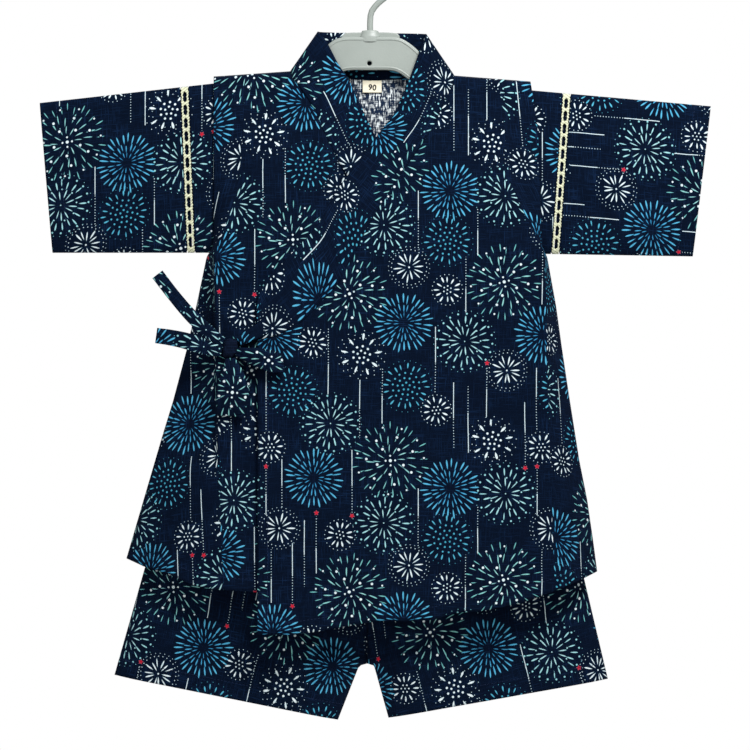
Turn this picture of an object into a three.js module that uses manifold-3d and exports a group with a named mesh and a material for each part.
// Child's jinbei set on a hanger: a wrap top with laced sleeves, and shorts of the same cloth.
// Millimetres, +Z up. The front faces -Y and +X is to the right of someone who looks at the front.
// The origin is under the crown of the hanger's hook, where a rail holds it.
import * as THREE from "three";
import Module from "manifold-3d";

// ---------------------------------------------------------------- sizes
const clothWall = 1.2;
const collarWall = 2.0;
const laceWall = 1.2;
const ribbonWall = 1.6;
const seamGap = 0.4;
const halfSeam = 0.2;
const layerStep = 3.0; // the under front lies this far behind the over front
const hookToBody = 58; // the crown's underside to the hanger body's top edge
const clothShift = 1.5; // the garment's centre line, to the right of the hook
const hangerHalf = 3.2; // half of the hanger's thickness
const neckDrape = 34; // the same, below the collar's back
const drape = 1.5; // how fast the cloth falls clear of the shoulder seam
const sleeveHalf = 6.0; // half of the depth of a sleeve
const armholeHalf = 7.9;
const armpitDrop = 167;
const laceWidth = 6.5;
const laceHoleWidth = 3.1;
const laceHoleLength = 6.8;
const laceHoles = 12; // down each face of a sleeve
const shortsCentreY = 6;
const waistTop = 283;
const waistbandWidth = 22;
const waistGathers = 24;
const waistGatherDepth = 0.9;
const crotchDrop = 476.4;

// A table has one row for each station; its columns are named. "drop" is the distance below the
// top edge of the hanger's body, and x is measured from the garment's centre line.
function table(columns, rows) {
  return rows.map((row) => Object.fromEntries(columns.map((name, k) => [name, row[k]])));
}

const sideLeft = table(["drop", "x"], [
  [29.9, -120.1], [150, -120], [160, -121], [167, -125.6], [204, -133.4], [236, -140.4],
  [276, -151], [304, -159.6], [395.5, -186.4], [460, -205],
]);
const sideRight = table(["drop", "x"], [
  [33.7, 120.1], [70, 125.4], [100, 127], [158, 128.5], [167.5, 133], [204, 139.6], [235, 143.9],
  [271, 149.3], [321, 157.2], [351, 163.2], [382, 167.7], [405.4, 170.8], [460, 178],
]);
const foldLeft = table(["drop", "x"], [
  [30, -96], [110, -100], [140, -109], [164, -119.3], [330, -116.3], [420, -112],
]);
const foldRight = table(["drop", "x"], [
  [30, 96], [110, 104], [140, 118], [164, 130.2], [330, 134.5], [420, 138],
]);
const shoulder = table(["x", "drop"], [
  [-120.1, 29.9], [-61.9, 25.9], [0, 27.5], [62.3, 29.2], [120.1, 33.7],
]);
const hemOver = table(["x", "drop"], [
  [-87, 451.7], [-61.6, 452.5], [-39.5, 449.5], [-22.8, 446.4], [3.8, 441.9], [25.1, 441.9],
  [46.4, 441.1], [63.1, 435.8], [81.3, 434.3], [99.6, 431.2], [120.1, 425.9], [137.6, 419],
  [155.8, 412.2], [170.8, 405.4],
]);
const hemUnder = table(["x", "drop"], [
  [-186.4, 395.5], [-172.5, 401.6], [-155, 406.1], [-136.8, 414.5], [-117.8, 418.3],
  [-83.6, 420.6], [84, 422],
]);
const hemBack = table(["x", "drop"], [
  [-186.4, 395.5], [-150, 405], [-110, 414], [0, 428], [100, 424], [140, 414], [170.8, 405.4],
]);
const depthOfBody = table(["drop", "front", "back"], [
  [26, 5.2, 5.2], [45, 6.6, 6.4], [74, 9.6, 9], [110, 13, 11.5], [167, 18, 14.4], [230, 20, 16.6],
  [283, 22, 17.7], [305, 23, 17.7], [360, 27, 21.5], [450, 31, 24],
]);
// soft vertical folds that the skirt falls into, each starting at its own height
const skirtFolds = table(["x", "width", "start", "depth"], [
  [-150, 13, 300, 1.6], [-118, 15, 330, -1.6], [-60, 22, 330, 1.8], [-22, 17, 350, -1.5],
  [14, 18, 330, 1.6], [52, 16, 340, -2.2], [82, 15, 360, 1.8], [112, 15, 330, -1.8],
  [150, 12, 320, 1.4],
]);

// The collar is one long band. Its free edge frames the neck and its seam edge is sewn to the
// fronts and the back. It runs from the over front's corner, over the right shoulder, round the
// back of the neck, over the left shoulder and down the under front's hidden edge.
const collarOver = table(["freeX", "freeDrop", "seamX", "seamDrop"], [
  [-87.5, 206, -86.5, 229], [-84.5, 193, -70, 224.5], [-73, 177.4, -54, 215.4],
  [-57.5, 161, -38.8, 200.2], [-42.7, 144.7, -24.5, 184], [-34, 129, -11.5, 159],
  [-23.5, 112, 1.5, 134], [-7.5, 91, 17.5, 109], [5.5, 73, 33.5, 86], [17.5, 57, 45.6, 67.2],
  [27.4, 34, 54.5, 48],
]);
const collarNeck = table(["freeX", "freeDrop", "freeY", "seamX", "seamDrop", "seamY"], [
  [35.9, 11, -6.6, 60.6, 34.6, -5.4], [40.3, 1, -4.6, 62.1, 30, -2.6],
  [41.2, -2.2, 0, 62.3, 29.2, 0], [40, -2.6, 4.2, 61, 29.8, 4.4], [34, -3, 7.4, 55, 30.6, 7.4],
  [18, -3.4, 9.9, 30, 31.3, 9.9], [0, -3.5, 10.3, 0, 31.5, 10.3],
  [-18, -3.7, 9.9, -30, 30.9, 9.9],
  [-34, -4, 7.4, -55, 28.4, 7.4], [-40, -4.2, 4.2, -60.8, 26.8, 4.4],
  [-41.2, -4.3, 0, -61.9, 25.9, 0], [-39.6, -2, -4.6, -61.6, 26.8, -2.6],
  [-34.6, 3.6, -6.6, -60, 30.2, -5.4],
]);
const collarUnder = table(["freeX", "freeDrop", "seamX", "seamDrop"], [
  [-25.5, 20.8, -54, 38], [-17.5, 33, -45.6, 50.5], [-9.1, 51, -36.8, 69.5],
  [1.5, 73.3, -25, 93.5], [14, 92, -10.5, 117], [30, 114, 5, 141], [43, 133, 17, 164],
  [53, 150, 30, 187], [66, 168, 47, 207], [77, 184, 66, 220], [84, 200, 83.5, 229],
]);

const hangerTop = table(["x", "drop"], [
  [-113, 34.2], [-110, 33], [-75, 30.4], [-66, 31.6], [-58, 33.2], [-51, 31], [-43, 18.5],
  [-35, 7], [-29, 2.2], [-22.5, 0], [19.5, 0], [26.6, 3.3], [35.6, 10.6], [43, 21], [51, 33.6],
  [58, 36.6], [66, 35], [75, 34], [109, 36.7], [112, 37.9],
]);
const hangerBottom = table(["x", "drop"], [
  [111, 43], [75, 43.2], [52, 43.6], [40, 40], [27, 31.8], [21, 27], [15, 25], [-18, 25],
  [-24, 27], [-30, 31.4], [-42, 38], [-52, 40.6], [-75, 39.8], [-112, 39.4],
]);

const sleeveLines = {
  left: table(["line", "topX", "bottomX"], [
    ["inner", -115.6, -116.5], ["laceIn", -139.05, -134.05], ["laceOut", -145.55, -140.55],
    ["cuff", -252.1, -242.4],
  ]),
  right: table(["line", "topX", "bottomX"], [
    ["inner", 115.6, 124.5], ["laceIn", 144.35, 135.65], ["laceOut", 150.85, 142.15],
    ["cuff", 256.9, 243.2],
  ]),
};
const sleeveEdges = {
  left: table(["x", "top", "bottom"], [[-115, 34.6, 163.7], [-252.1, 50, 163.7]]),
  right: table(["x", "top", "bottom"], [[115, 39.9, 164.3], [256.9, 52.5, 166.7]]),
};

const shortsSide = {
  left: table(["drop", "x"], [[283, -106], [340, -140], [402.3, -172.5], [484.1, -195.7]]),
  right: table(["drop", "x"], [[283, 104], [340, 134], [411.1, 161.1], [487.1, 179.1]]),
};
const shortsInner = {
  left: table(["drop", "x"], [[283, -3.8], [475.6, -3.8], [477.2, -9.9], [518.2, -26]]),
  right: table(["drop", "x"], [[283, -3.8], [475.6, -3.8], [477.2, 1.5], [516.7, 12.5]]),
};
const shortsHem = {
  left: table(["x", "drop"], [[-195.7, 484.1], [-26, 518.2], [0, 523]]),
  right: table(["x", "drop"], [[0, 519], [12.5, 516.7], [179.1, 487.1]]),
};
const depthOfShorts = table(["drop", "half"], [
  [283, 9], [305, 9.2], [400, 11], [460, 11], [520, 10],
]);

// ---------------------------------------------------------------- small helpers
const clamp = (value, low, high) => Math.min(high, Math.max(low, value));
const mix = (a, b, t) => a + (b - a) * t;
function smooth(low, high, value) {
  const t = clamp((value - low) / (high - low), 0, 1);
  return t * t * (3 - 2 * t);
}
function look(rows, key, value, out) {
  const first = rows[0][key];
  const last = rows[rows.length - 1][key];
  const sign = last > first ? 1 : -1;
  let k = 0;
  while (k < rows.length - 2 && (value - rows[k + 1][key]) * sign > 0) k += 1;
  const t = (value - rows[k][key]) / (rows[k + 1][key] - rows[k][key]);
  return mix(rows[k][out], rows[k + 1][out], clamp(t, 0, 1));
}
const at = (x, y, drop) => new THREE.Vector3(x, y, -drop);

// ---------------------------------------------------------------- the top's outer faces
const skirtFold = (x, drop) => skirtFolds.reduce((sum, fold) => {
  const near = Math.exp(-(((x - fold.x) / fold.width) ** 2));
  return sum + fold.depth * near * smooth(fold.start, fold.start + 110, drop);
}, 0);
const belowShoulder = (x, drop) => Math.max(0, drop - look(shoulder, "x", x, "drop"));
// depth of the body at its outer edge: it clears the sleeve, and closes at the side seam
function edgeDepth(drop) {
  if (drop >= armpitDrop) return halfSeam;
  const t = clamp((drop - 100) / (armpitDrop - 100), 0, 1);
  return Math.max(halfSeam, armholeHalf * (1 - t ** 6) ** (1 / 3));
}
function roll(x, drop) {
  const left = x < 0;
  const edge = look(left ? sideLeft : sideRight, "drop", drop, "x");
  const fold = look(left ? foldLeft : foldRight, "drop", drop, "x");
  const q = clamp((edge - x) / (edge - fold), 0, 1);
  return 1 - (1 - q) ** 1.5;
}
function frontY(x, drop) {
  const full = look(depthOfBody, "drop", drop, "front") + skirtFold(x, drop);
  const spread = mix(Math.min(edgeDepth(drop), full), full, roll(x, drop));
  const fall = 1 - Math.exp(-belowShoulder(x, drop) / drape);
  return -mix(halfSeam, Math.max(halfSeam, spread), fall);
}
// the under front steps back where the over front covers it
function underY(x, drop) {
  const edge = look(overFree, "drop", drop, "x");
  return frontY(x, drop) + layerStep * smooth(edge - 28, edge - 2, x) * smooth(30, 60, drop);
}
function backY(x, drop) {
  const left = x < 0;
  const edge = look(left ? sideLeft : sideRight, "drop", drop, "x");
  const q = clamp((edge - x) / (edge * 0.16), 0, 1);
  const full = look(depthOfBody, "drop", drop, "back") - 0.6 * skirtFold(-x, drop);
  const spread = mix(Math.min(edgeDepth(drop), full), full, 1 - (1 - q) ** 1.8);
  const top = Math.abs(x) < 61 ? look(neckSeam, "x", x, "y") : halfSeam;
  const fall = 1 - Math.exp(-belowShoulder(x, drop) / mix(drape, neckDrape, smooth(5, 9, top)));
  return mix(top, Math.max(halfSeam, spread), fall);
}

// ---------------------------------------------------------------- shells of cloth
// rows is a grid of points on the outer face. The wall goes inwards from it. keep leaves cells
// out, limit keeps the inner face on its own side of a seam, and loop joins the ends of a row.
function shell(rows, wall, options = {}) {
  const { loop = false, keep = () => true, limit = null, flip = false } = options;
  const nj = rows.length;
  const ni = rows[0].length;
  const outer = rows.flat();
  const inner = [];
  for (let j = 0; j < nj; j += 1) {
    for (let i = 0; i < ni; i += 1) {
      const before = loop ? rows[j][(i + ni - 1) % ni] : rows[j][Math.max(0, i - 1)];
      const after = loop ? rows[j][(i + 1) % ni] : rows[j][Math.min(ni - 1, i + 1)];
      const above = rows[Math.max(0, j - 1)][i];
      const below = rows[Math.min(nj - 1, j + 1)][i];
      const along = after.clone().sub(before);
      const normal = along.cross(below.clone().sub(above)).normalize();
      if (flip) normal.negate();
      const point = rows[j][i].clone().addScaledVector(normal, -wall);
      inner.push(limit ? limit(point, rows[j][i]) : point);
    }
  }
  const index = [];
  const count = outer.length;
  const cells = loop ? ni : ni - 1;
  const id = (i, j) => j * ni + (i % ni);
  const has = (i, j) => {
    if (j < 0 || j > nj - 2) return false;
    if (!loop && (i < 0 || i > ni - 2)) return false;
    return keep((i + cells) % cells, j);
  };
  const quad = (a, b, c, d) => {
    if (flip) index.push(a, c, b, a, d, c);
    else index.push(a, b, c, a, c, d);
  };
  for (let j = 0; j < nj - 1; j += 1) {
    for (let i = 0; i < cells; i += 1) {
      if (has(i, j)) {
        const a = id(i, j);
        const b = id(i + 1, j);
        const c = id(i + 1, j + 1);
        const d = id(i, j + 1);
        quad(a, b, c, d);
        quad(a + count, d + count, c + count, b + count);
        if (!has(i, j - 1)) quad(b, a, a + count, b + count);
        if (!has(i, j + 1)) quad(d, c, c + count, d + count);
        if (!has(i - 1, j)) quad(a, d, d + count, a + count);
        if (!has(i + 1, j)) quad(c, b, b + count, c + count);
      }
    }
  }
  const geometry = new THREE.BufferGeometry();
  const flat = outer.concat(inner).flatMap((p) => [p.x, p.y, p.z]);
  geometry.setAttribute("position", new THREE.Float32BufferAttribute(flat, 3));
  geometry.setIndex(index);
  geometry.computeVertexNormals();
  return geometry;
}
const keepFront = (point) => point.setY(Math.min(point.y, -halfSeam));
const keepBack = (point) => point.setY(Math.max(point.y, halfSeam));

// ---------------------------------------------------------------- the collar's two edges
const stepsOver = 2;
function edgeCurve(points) {
  return new THREE.CatmullRomCurve3(points, false, "catmullrom", 0.5);
}
const collarRows = [
  ...collarOver.map((r) => ({
    free: [r.freeX, null, r.freeDrop], seam: [r.seamX, null, r.seamDrop], layer: "over",
  })),
  ...collarNeck.map((r) => ({
    free: [r.freeX, r.freeY, r.freeDrop], seam: [r.seamX, r.seamY, r.seamDrop], layer: "neck",
  })),
  ...collarUnder.map((r) => ({
    free: [r.freeX, null, r.freeDrop], seam: [r.seamX, null, r.seamDrop], layer: "under",
  })),
];
const overFree = [
  ...collarNeck.slice(0, 3).reverse().map((r) => ({ drop: r.freeDrop, x: r.freeX })),
  ...collarOver.slice().reverse().map((r) => ({ drop: r.freeDrop, x: r.freeX })),
  { drop: 470, x: -85 },
];
const neckSeam = collarNeck.slice(2, 11).map((r) => ({ x: r.seamX, y: r.seamY }));
function collarY(layer, x, drop) {
  const full = look(depthOfBody, "drop", Math.max(drop, 26), "front");
  const plain = -Math.max(full, 6.6);
  if (layer === "over") return Math.min(plain, frontY(x, drop));
  const edge = look(overFree, "drop", drop, "x");
  return plain + layerStep * smooth(edge - 28, edge - 2, x) * smooth(30, 60, drop);
}
function seamY(layer, x, drop) {
  return layer === "over" ? frontY(x, drop) : underY(x, drop);
}
const freePoints = collarRows.map((r) => {
  const [x, y, drop] = r.free;
  return at(x, y === null ? collarY(r.layer, x, drop) : y, drop);
});
const seamPoints = collarRows.map((r) => {
  const [x, y, drop] = r.seam;
  return at(x, y === null ? seamY(r.layer, x, drop) : y, drop);
});
const collarSteps = (collarRows.length - 1) * stepsOver;
const freeEdge = edgeCurve(freePoints).getPoints(collarSteps);
const seamEdge = edgeCurve(seamPoints).getPoints(collarSteps);
const apexRight = (collarOver.length + 2) * stepsOver;
const apexLeft = (collarOver.length + 10) * stepsOver;

// ---------------------------------------------------------------- the panels of the top
function frontPanel(seam, side, hem, surface) {
  // seam: points of the collar's seam from the shoulder down; side: the table of the outer edge
  const rows = [];
  const foldTable = side === sideLeft ? foldLeft : foldRight;
  const fractions = seam.map((p) => {
    const top = look(shoulder, "x", p.x, "drop");
    return clamp((-p.z - top) / (look(hem, "x", p.x, "drop") - top), 0, 1);
  });
  const inner = seam.map((p) => ({ x: p.x, y: p.y, drop: -p.z }));
  const lastRow = fractions[fractions.length - 1];
  const more = 10;
  for (let k = 1; k <= more; k += 1) fractions.push(mix(lastRow, 1, k / more));
  const corner = seam[seam.length - 1].x;
  const columns = [0, 0.06, 0.15, 0.27, 0.39, 0.51, 0.63, 0.75, 0.87, 1];
  const around = [0.12, 0.28, 0.48, 0.72, 1];
  fractions.forEach((v, j) => {
    const level = (x) => mix(look(shoulder, "x", x, "drop"), look(hem, "x", x, "drop"), v);
    const solve = (rowsOf) => {
      let x = rowsOf[0].x;
      for (let k = 0; k < 40; k += 1) x = mix(x, look(rowsOf, "drop", level(x), "x"), 0.7);
      return x;
    };
    const start = j < inner.length ? inner[j].x : corner;
    const fold = solve(foldTable);
    const edge = solve(side);
    const xs = columns.map((u) => mix(start, fold, u)).concat(
      around.map((u) => mix(fold, edge, u)),
    );
    rows.push(xs.map((x, i) => {
      if (i === 0 && j < inner.length) return at(x, inner[j].y, inner[j].drop);
      return at(x, surface(x, level(x)), level(x));
    }));
  });
  return rows;
}

const overSeam = seamEdge.slice(0, apexRight + 1).reverse();
const underSeam = seamEdge.slice(apexLeft);
overSeam[0] = at(62.3, -halfSeam, 29.2);
underSeam[0] = at(-61.9, -halfSeam, 25.9);
const frontOver = shell(frontPanel(overSeam, sideRight, hemOver, frontY), clothWall, {
  flip: true, limit: keepFront,
});
const frontUnder = shell(frontPanel(underSeam, sideLeft, hemUnder, underY), clothWall, {
  limit: keepFront,
});

function backPanel() {
  const neck = seamEdge.slice(apexRight, apexLeft + 1).reverse();
  const tops = [-120.1, -112, -103, -91, -78].map((x) => ({ x }))
    .concat(neck.map((p) => ({ x: p.x, y: p.y, drop: -p.z })))
    .concat([78, 91, 103, 112, 120.1].map((x) => ({ x })));
  const fractions = [0, 0.004, 0.013, 0.04, 0.09, 0.15, 0.22, 0.3, 0.336, 0.348, 0.375, 0.42];
  for (let k = 1; k <= 9; k += 1) fractions.push(mix(0.42, 1, k / 9));
  return fractions.map((v, j) => {
    const level = (x) => mix(look(shoulder, "x", x, "drop"), look(hemBack, "x", x, "drop"), v);
    const solve = (rowsOf) => {
      let x = rowsOf[0].x;
      for (let k = 0; k < 40; k += 1) x = mix(x, look(rowsOf, "drop", level(x), "x"), 0.7);
      return x;
    };
    const left = solve(sideLeft);
    const right = solve(sideRight);
    return tops.map((p) => {
      const x = mix(left, right, (p.x + 120.1) / 240.2);
      if (j === 0 && p.y !== undefined) {
        return at(x, Math.max(halfSeam, p.y), p.drop + seamGap);
      }
      return at(x, backY(x, level(x)), level(x) + (Math.abs(x) < 62 ? 3 * (1 - v) : 0));
    });
  });
}
const back = shell(backPanel(), clothWall, { flip: true, limit: keepBack });

function collarBand() {
  const across = [0, 0.3, 0.65, 1];
  const rows = freeEdge.map((free, k) => {
    const seam = seamEdge[k].clone();
    const inwards = free.clone().sub(seam).normalize();
    const start = seam.addScaledVector(inwards, seamGap);
    return across.map((u) => start.clone().lerp(free, u));
  });
  return shell(rows, collarWall, { flip: true });
}

// ---------------------------------------------------------------- sleeves
// the section of a sleeve: h runs from its top fold to its lower edge
const sleeveSection = (h) => sleeveHalf * Math.max(0, 1 - Math.abs(2 * h - 1) ** 3) ** (1 / 3);
function sleeveLine(side, name) {
  return sleeveLines[side].find((row) => row.line === name);
}
function sleevePoint(side, line, h, y) {
  const x = mix(line.topX, line.bottomX, h);
  const top = look(sleeveEdges[side], "x", x, "top");
  const bottom = look(sleeveEdges[side], "x", x, "bottom");
  return at(x, y, mix(top, bottom, h));
}
function sleeveTube(side, from, to, count) {
  const sign = side === "left" ? -1 : 1;
  const a = sleeveLine(side, from);
  const b = sleeveLine(side, to);
  const startGap = from === "inner" ? 0 : 0.15 * sign;
  const endGap = to === "cuff" ? 0 : -0.15 * sign;
  const around = 26;
  const rows = [];
  for (let k = 0; k <= count; k += 1) {
    const t = k / count;
    const line = {
      topX: mix(a.topX + startGap, b.topX + endGap, t),
      bottomX: mix(a.bottomX + startGap, b.bottomX + endGap, t),
    };
    const row = [];
    for (let i = 0; i < around; i += 1) {
      const angle = (2 * Math.PI * i) / around;
      const c = Math.cos(angle);
      const h = (1 - Math.sign(c) * Math.abs(c) ** 0.8) / 2;
      const y = -sleeveSection(h) * Math.sign(Math.sin(angle));
      row.push(sleevePoint(side, line, h, Math.abs(Math.sin(angle)) < 1e-9 ? 0 : y));
    }
    rows.push(row);
  }
  return shell(rows, clothWall, { loop: true, flip: side === "left" });
}
function laceHalf(side, face) {
  const sign = side === "left" ? -1 : 1;
  const a = sleeveLine(side, "laceIn");
  const b = sleeveLine(side, "laceOut");
  const margin = (laceWidth - laceHoleWidth) / 2 / laceWidth;
  const across = [0, margin, 1 - margin, 1];
  const height = 118;
  const pitch = height / laceHoles;
  const stops = [0, 0.006, 0.02];
  for (let k = 0; k < laceHoles; k += 1) {
    const middle = (0.5 * (129 - height) + pitch * (k + 0.5)) / 129;
    stops.push(middle - laceHoleLength / 2 / 129, middle + laceHoleLength / 2 / 129);
  }
  stops.push(0.98, 0.994, 1);
  const direction = face === "front" ? -1 : 1;
  const rows = stops.map((h) => across.map((u) => {
    const gap = 0.15 * sign * (1 - 2 * u);
    const line = { topX: mix(a.topX, b.topX, u) + gap, bottomX: mix(a.bottomX, b.bottomX, u) + gap };
    const y = direction * Math.max(halfSeam, sleeveSection(h));
    return sleevePoint(side, line, h, y);
  }));
  const keep = (i, j) => !(i === 1 && j >= 3 && (j - 3) % 2 === 0 && j < 3 + 2 * laceHoles);
  const outwards = (side === "left") === (face === "front");
  return shell(rows, laceWall, {
    keep, flip: !outwards, limit: face === "front" ? keepFront : keepBack,
  });
}

// ---------------------------------------------------------------- the bow
const knotAt = { x: -107.2, drop: 236 };
const knotSize = { x: 5.6, y: 4.2, z: 7.6 };
const knotY = underY(knotAt.x, knotAt.drop) + 0.05 - knotSize.y;
function knot() {
  const { points, whole } = weld(new THREE.SphereGeometry(1, 16, 10));
  const power = (value, size) => size * Math.sign(value) * Math.abs(value) ** 0.72;
  const places = [];
  for (let k = 0; k < points.length; k += 3) {
    const height = power(points[k + 1], knotSize.z);
    places.push(
      knotAt.x + power(points[k], knotSize.x) + 0.16 * height,
      knotY - power(points[k + 2], knotSize.y),
      height - knotAt.drop,
    );
  }
  const geometry = new THREE.BufferGeometry();
  geometry.setAttribute("position", new THREE.Float32BufferAttribute(places, 3));
  geometry.setIndex(whole);
  geometry.computeVertexNormals();
  return geometry;
}
// a ribbon follows points with their own widths, and it lies in the plane of the front
function ribbon(stations, wall, segments) {
  const path = new THREE.CatmullRomCurve3(stations.map((s) => at(s.x, s.y, s.drop)), false,
    "catmullrom", 0.5);
  const rows = [];
  for (let k = 0; k <= segments; k += 1) {
    const t = k / segments;
    const place = path.getPoint(t);
    const tangent = path.getTangent(t);
    const spot = t * (stations.length - 1);
    const low = Math.min(stations.length - 2, Math.floor(spot));
    const width = mix(stations[low].width, stations[low + 1].width, spot - low);
    const cup = mix(stations[low].cup, stations[low + 1].cup, spot - low);
    const turn = mix(stations[low].turn, stations[low + 1].turn, spot - low);
    // the ribbon's width runs across the path, in a plane given by its turn about Y
    const side = new THREE.Vector3(Math.cos(turn), 0, Math.sin(turn));
    side.addScaledVector(tangent, -side.dot(tangent)).normalize();
    const out = side.clone().cross(tangent);
    rows.push([-0.5, -0.17, 0.17, 0.5].map((u) => place.clone()
      .addScaledVector(side, u * width)
      .addScaledVector(out, cup * (1 - 4 * u * u))));
  }
  return shell(rows, wall);
}
const tieColumns = ["x", "drop", "y", "width", "cup", "turn"];
const ties = {
  tie_tail_upper: table(tieColumns, [
    [-112.5, 231.8, -1.2, 7, 0.8, 0.85], [-124, 223.4, -2.6, 10.5, 0.8, 0.85],
    [-136.8, 211.5, -3.2, 10, 0.5, 0.85], [-150, 196, -2.6, 9.6, 0.4, 0.9],
    [-162, 180.4, -1.2, 9.6, 0.2, 0.95],
  ]),
  tie_tail_lower: table(tieColumns, [
    [-113.5, 239.2, -1.2, 8, 0.8, 1.6], [-126, 238.4, -2.2, 11.6, 0.8, 1.62],
    [-140, 233.6, -2.6, 12.4, 0.6, 1.75], [-152, 229.6, -1.8, 12, 0.4, 1.8],
    [-163, 226.6, -0.6, 11.6, 0.2, 1.8],
  ]),
  tie_loop_side: table(tieColumns, [
    [-102.1, 239, -2.4, 6.6, 1.2, -1.3], [-89, 242.5, -5, 14, 2, -1.3],
    [-76, 246, -5.2, 16.5, 2, -1.3], [-67.4, 248.2, -1.8, 13, 0.6, -1.3],
    [-76, 247.6, 1.5, 14, -0.6, -1.3], [-89, 243.6, 1.6, 11, -0.4, -1.3],
    [-102, 240.2, 1.3, 6.6, 0, -1.3],
  ]),
  tie_loop_down: table(tieColumns, [
    [-107, 243.9, -2.4, 7.6, 1.2, Math.PI], [-105.4, 257, -5.4, 19, 2.2, Math.PI],
    [-105.4, 271, -6, 25, 2.2, Math.PI], [-107, 286.6, -1.8, 20, 0.6, Math.PI],
    [-103.4, 271, 1.5, 22, -0.6, Math.PI], [-104.8, 257, 1.6, 16, -0.4, Math.PI],
    [-107, 243.9, 1.3, 7.6, 0, Math.PI],
  ]),
  tie_strap_over: table(tieColumns, [
    [-82, 221, 3.5, 11, 0, -1.05], [-92, 226.4, 1.2, 9.5, 0.3, -1.05],
    [-100.4, 231.6, 0.6, 6.5, 0.4, -1.05],
  ]),
  tie_strap_side: table(tieColumns, [
    [-121.4, 228.2, 3.25, 7, 0, 0.5], [-118.2, 228.6, 3.1, 7, 0.1, 0.5],
    [-112.6, 230.6, 2.4, 4.6, 0.1, 0.5],
  ]),
};

// ---------------------------------------------------------------- the shorts
function shortsPanel(side, face) {
  const direction = face === "front" ? -1 : 1;
  const sign = side === "left" ? -1 : 1;
  const top = waistTop + waistbandWidth + 0.3;
  const hem = shortsHem[side];
  const legTop = look(hem, "x", -5, "drop") - top;
  const fork = [crotchDrop - 0.9 - top, crotchDrop + 0.9 - top].map((d) => d / legTop);
  const fractions = [0, 0.14, 0.28, 0.42, 0.55, 0.65, 0.73, ...fork, 0.85, 0.92, 1];
  const columns = [0, 0.04, 0.12, 0.26, 0.42, 0.58, 0.74, 0.88, 0.96, 1];
  const rows = fractions.map((v) => {
    const level = (x) => mix(top, look(hem, "x", x, "drop"), v);
    const solve = (rowsOf) => {
      let x = rowsOf[0].x;
      for (let k = 0; k < 40; k += 1) x = mix(x, look(rowsOf, "drop", level(x), "x"), 0.7);
      return x;
    };
    const inner = solve(shortsInner[side]) + halfSeam * sign;
    const outer = solve(shortsSide[side]);
    return columns.map((u) => {
      const x = mix(inner, outer, u);
      const drop = level(x);
      const half = look(depthOfShorts, "drop", drop, "half");
      const fromSide = 1 - Math.max(0, 1 - Math.abs(outer - x) / 26) ** 2.2;
      const legStart = smooth(crotchDrop - 60, crotchDrop, drop);
      const fromInside = 1 - Math.max(0, 1 - Math.abs(x - inner) / 24) ** 2.2;
      const depth = half * fromSide * mix(1, fromInside, legStart);
      return at(x, shortsCentreY + direction * Math.max(halfSeam, depth), drop);
    });
  });
  const limit = (point) => point.setY(face === "front"
    ? Math.min(point.y, shortsCentreY - halfSeam)
    : Math.max(point.y, shortsCentreY + halfSeam));
  const outwards = (side === "left") === (face === "front");
  return shell(rows, clothWall, { flip: !outwards, limit });
}
function waistband() {
  const around = waistGathers * 4;
  const drops = [waistTop, waistTop + waistbandWidth / 2, waistTop + waistbandWidth];
  const rows = drops.map((drop, j) => {
    const edge = j === 0 || j === drops.length - 1;
    const row = [];
    for (let i = 0; i < around; i += 1) {
      const angle = (2 * Math.PI * i) / around;
      const c = Math.cos(angle);
      const s = Math.sin(angle);
      const wave = waistGatherDepth * Math.cos(angle * waistGathers) * (edge ? 0.6 : 1);
      const half = look(depthOfShorts, "drop", drop, "half") - 0.8 + wave;
      const centre = -1;
      const wide = 104 + 0.56 * (drop - waistTop);
      const x = centre + wide * Math.sign(c) * Math.abs(c) ** 0.7;
      row.push(at(x, shortsCentreY - half * Math.sign(s) * Math.abs(s) ** 0.6, drop));
    }
    return row;
  });
  return shell(rows, 1.8, { loop: true, flip: true });
}

// ---------------------------------------------------------------- label and hanger
function sizeLabel() {
  const label = new THREE.BoxGeometry(14.4, 0.7, 9.2);
  const y = Math.min(...[-7, 0, 7].map((x) => backY(x, 42))) - clothWall + 0.75;
  label.translate(0, y, -37.2);
  return label;
}
const wasm = await Module();
wasm.setup();
// vertices at one place become one, and triangles that this closes up are left out
function weld(geometry) {
  const places = geometry.getAttribute("position");
  const corners = geometry.getIndex();
  const known = new Map();
  const points = [];
  const faces = [];
  const count = corners ? corners.count : places.count;
  for (let k = 0; k < count; k += 1) {
    const p = new THREE.Vector3().fromBufferAttribute(places, corners ? corners.getX(k) : k);
    const key = [p.x, p.y, p.z].map((value) => Math.round(value * 5000) + 0).join();
    if (!known.has(key)) {
      known.set(key, points.length / 3);
      points.push(p.x, p.y, p.z);
    }
    faces.push(known.get(key));
  }
  const whole = [];
  for (let k = 0; k < faces.length; k += 3) {
    const [a, b, c] = faces.slice(k, k + 3);
    if (a !== b && b !== c && c !== a) whole.push(a, b, c);
  }
  return { points, whole };
}
function solidOf(geometry) {
  const { points, whole } = weld(geometry);
  return new wasm.Manifold(new wasm.Mesh({
    numProp: 3, vertProperties: new Float32Array(points), triVerts: new Uint32Array(whole),
  }));
}
function geometryOf(solid) {
  const mesh = solid.getMesh();
  const geometry = new THREE.BufferGeometry();
  geometry.setAttribute("position", new THREE.Float32BufferAttribute(mesh.vertProperties, 3));
  geometry.setIndex(Array.from(mesh.triVerts));
  geometry.computeVertexNormals();
  return geometry;
}
function extrudeFlat(shape, half, curveSegments = 8) {
  const block = new THREE.ExtrudeGeometry(shape, {
    depth: 2 * half, bevelEnabled: false, curveSegments,
  });
  block.translate(0, 0, -half);
  block.rotateX(Math.PI / 2);
  return block;
}
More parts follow.
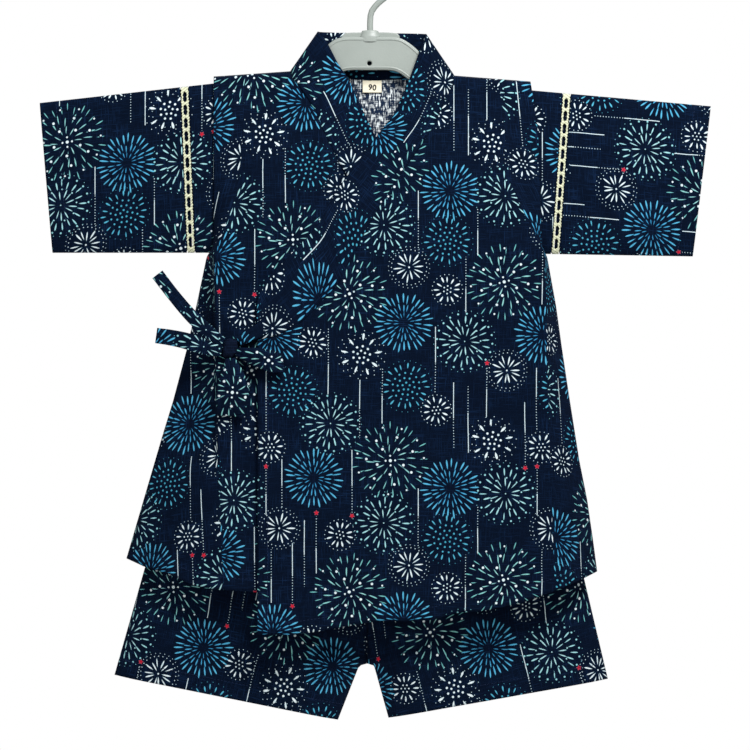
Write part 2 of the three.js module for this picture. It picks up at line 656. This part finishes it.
function hangerBody() {
  const outline = new THREE.Shape(hangerTop.concat(hangerBottom)
    .map((p) => new THREE.Vector2(p.x, -p.drop)));
  const rib = new THREE.Shape([[-23, -0.6], [-21, 2.6], [-14, 3.2], [12, 3.2], [19, 2.6], [21, -0.6]]
    .map(([x, z]) => new THREE.Vector2(x, z)));
  const ribBlock = extrudeFlat(rib, 1.3);
  ribBlock.translate(0, 1.2, 0);
  const boss = new THREE.CylinderGeometry(6.4, 7.4, 6, 20);
  boss.rotateX(Math.PI / 2);
  boss.scale(1, 0.42, 1);
  boss.translate(-clothShift, 0, 1.6);
  const hole = new THREE.CylinderGeometry(2, 2, 12, 20);
  hole.translate(-2, 0, -20);
  return geometryOf(solidOf(extrudeFlat(outline, hangerHalf))
    .add(solidOf(ribBlock)).add(solidOf(boss)).subtract(solidOf(hole)));
}
function hangerHook() {
  const rod = 2.4;
  const radius = 15 + rod;
  const centre = new THREE.Vector2(-clothShift, hookToBody - 15);
  const points = [
    new THREE.Vector3(-clothShift, 0, 4.9), new THREE.Vector3(-clothShift, 0, 12),
    new THREE.Vector3(-clothShift + 1, 0, 19), new THREE.Vector3(-clothShift + 6, 0, 25.6),
  ];
  for (let degrees = -40; degrees <= 196; degrees += 23.6) {
    const angle = THREE.MathUtils.degToRad(degrees);
    points.push(new THREE.Vector3(
      centre.x + radius * Math.cos(angle),
      0,
      centre.y + radius * Math.sin(angle),
    ));
  }
  const path = new THREE.CatmullRomCurve3(points);
  const section = new THREE.Shape();
  section.absarc(0, 0, rod, 0, 2 * Math.PI);
  return new THREE.ExtrudeGeometry(section, {
    steps: 28, curveSegments: 5, extrudePath: path, bevelEnabled: false,
  });
}

// ---------------------------------------------------------------- materials and scene
const looks = {
  cloth: { color: 0x141f3c, roughness: 0.9, metalness: 0 },
  collar: { color: 0x17233f, roughness: 0.9, metalness: 0 },
  lace: { color: 0xe4dcc0, roughness: 0.9, metalness: 0 },
  tie: { color: 0x131d39, roughness: 0.9, metalness: 0 },
  label: { color: 0xefe8cf, roughness: 0.8, metalness: 0 },
  hanger: { color: 0xbcc4c0, roughness: 0.4, metalness: 0 },
};
const jinbei = new THREE.Group();
jinbei.name = "jinbei_set";
jinbei.position.set(clothShift, 0, -hookToBody);
function piece(name, kind, geometry) {
  const look3d = looks[kind];
  const mesh = new THREE.Mesh(geometry, new THREE.MeshStandardMaterial({
    ...look3d, side: THREE.DoubleSide,
  }));
  mesh.name = name;
  jinbei.add(mesh);
}

piece("front_over", "cloth", frontOver);
piece("front_under", "cloth", frontUnder);
piece("back", "cloth", back);
piece("collar", "collar", collarBand());
["left", "right"].forEach((side) => {
  piece(`sleeve_band_${side}`, "cloth", sleeveTube(side, "inner", "laceIn", 2));
  piece(`lace_front_${side}`, "lace", laceHalf(side, "front"));
  piece(`lace_back_${side}`, "lace", laceHalf(side, "back"));
  piece(`sleeve_${side}`, "cloth", sleeveTube(side, "laceOut", "cuff", 7));
});
piece("tie_knot", "tie", knot());
Object.entries(ties).forEach(([name, stations]) => {
  const placed = stations.map((s) => ({ ...s, y: knotY + s.y }));
  piece(name, "tie", ribbon(placed, ribbonWall, name.includes("loop") ? 18 : 10));
});
["left", "right"].forEach((side) => {
  piece(`shorts_front_${side}`, "cloth", shortsPanel(side, "front"));
  piece(`shorts_back_${side}`, "cloth", shortsPanel(side, "back"));
});
piece("shorts_waistband", "cloth", waistband());
piece("size_label", "label", sizeLabel());
piece("hanger_body", "hanger", hangerBody());
piece("hanger_hook", "hanger", hangerHook());

export default jinbei;
